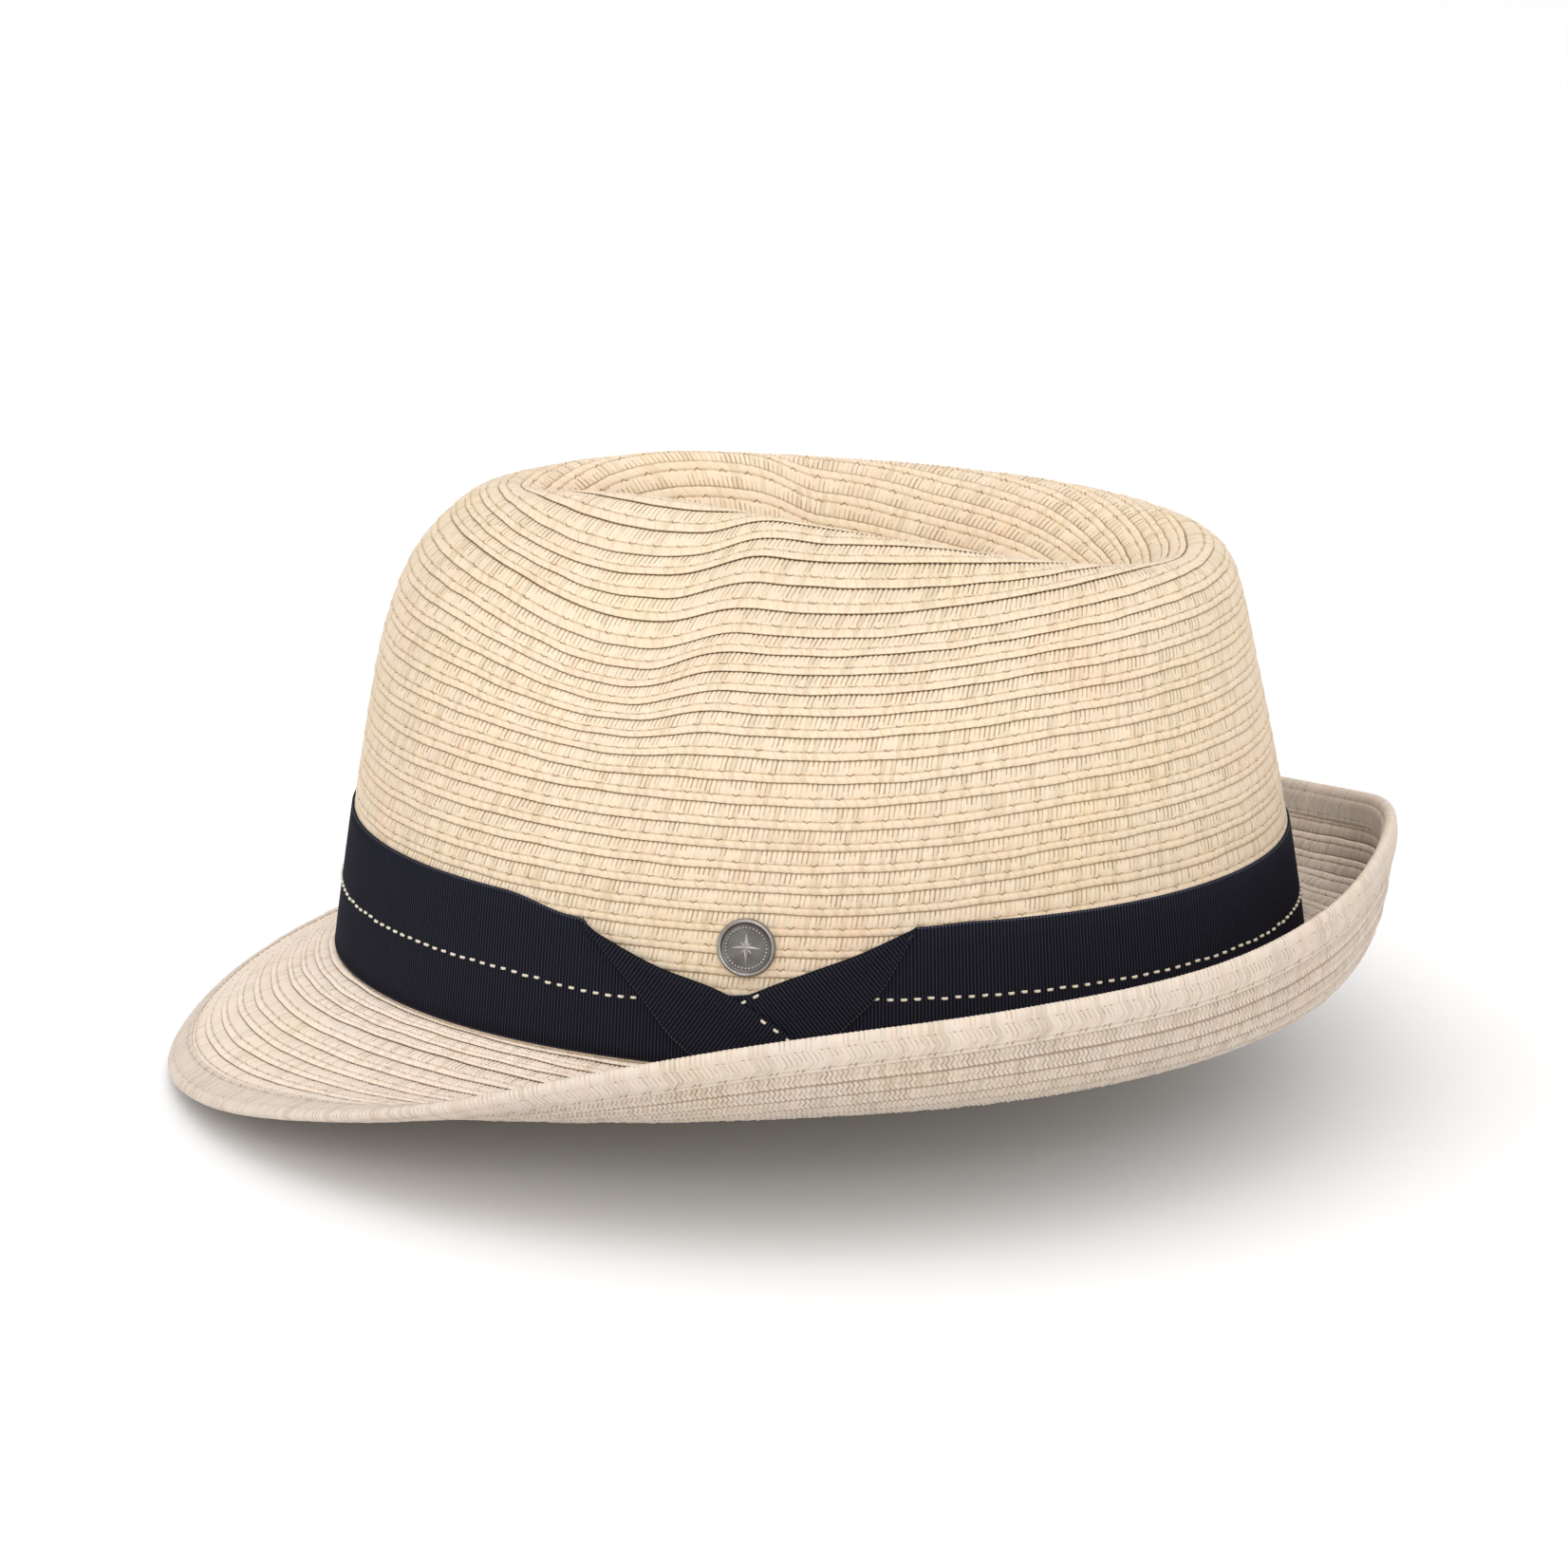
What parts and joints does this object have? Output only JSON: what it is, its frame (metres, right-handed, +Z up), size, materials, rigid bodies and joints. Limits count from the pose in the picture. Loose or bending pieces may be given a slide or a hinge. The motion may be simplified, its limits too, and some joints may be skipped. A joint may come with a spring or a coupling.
{
  "type": "fedora hat",
  "caption": "Short-brim fedora of sewn straw braid: teardrop crown, brim snapped down in front and rolled up behind, dark ribbon crossed at the side with a round badge.",
  "frame": {"origin": "centre of the head opening, in the plane where the brim meets the crown", "axes": "+Z up through the crown, -Y towards the front of the hat, +X towards the wearer's left, where the ribbon crosses"},
  "size_m": [0.243, 0.2593, 0.1297],
  "materials": {
    "straw": "matte paper-straw braid",
    "straw_edge": "matte paper-straw braid, folded over the edge",
    "wire": "drawn wire",
    "ribbon": "ribbed grosgrain, slight sheen",
    "cream_thread": "cotton thread",
    "navy_thread": "cotton thread",
    "sweatband_cloth": "twill cotton",
    "sweatband_tape": "woven tape",
    "label_cloth": "blank satin label",
    "pewter": "antiqued pewter finish",
    "pin_steel": "plain bright steel"
  },
  "bodies": {
    "hat": {"crown": "straw", "brim": "straw", "brim_edge_braid": "straw_edge", "brim_wire": "wire", "hatband": "ribbon", "hatband_front_fold": "ribbon", "hatband_rear_fold": "ribbon", "contrast_thread": "cream_thread", "ribbon_tacks": "navy_thread", "sweatband": "sweatband_cloth", "sweatband_seam": "cream_thread", "sweatband_join": "sweatband_tape", "size_label": "label_cloth"},
    "brim_front": {"front_brim": "straw", "front_edge_braid": "straw_edge", "front_wire": "wire"},
    "badge": {"badge_cap": "pewter", "badge_emblem": "pewter", "badge_bead_ring": "pewter", "badge_nail": "pin_steel", "badge_washer": "pin_steel"}
  },
  "joints": [
    {"name": "front_brim_snap", "type": "hinge", "parent": "hat", "child": "brim_front", "pos_m": [0, -0.1025, -0.0011], "axis": [-1, 0, 0], "range_deg": [-8, 45]},
    {"name": "badge_swivel", "type": "hinge", "parent": "hat", "child": "badge", "pos_m": [0.08037, -0.00434, 0.0256], "axis": [0.9904, -0.0356, 0.1334], "continuous": true}
  ]
}
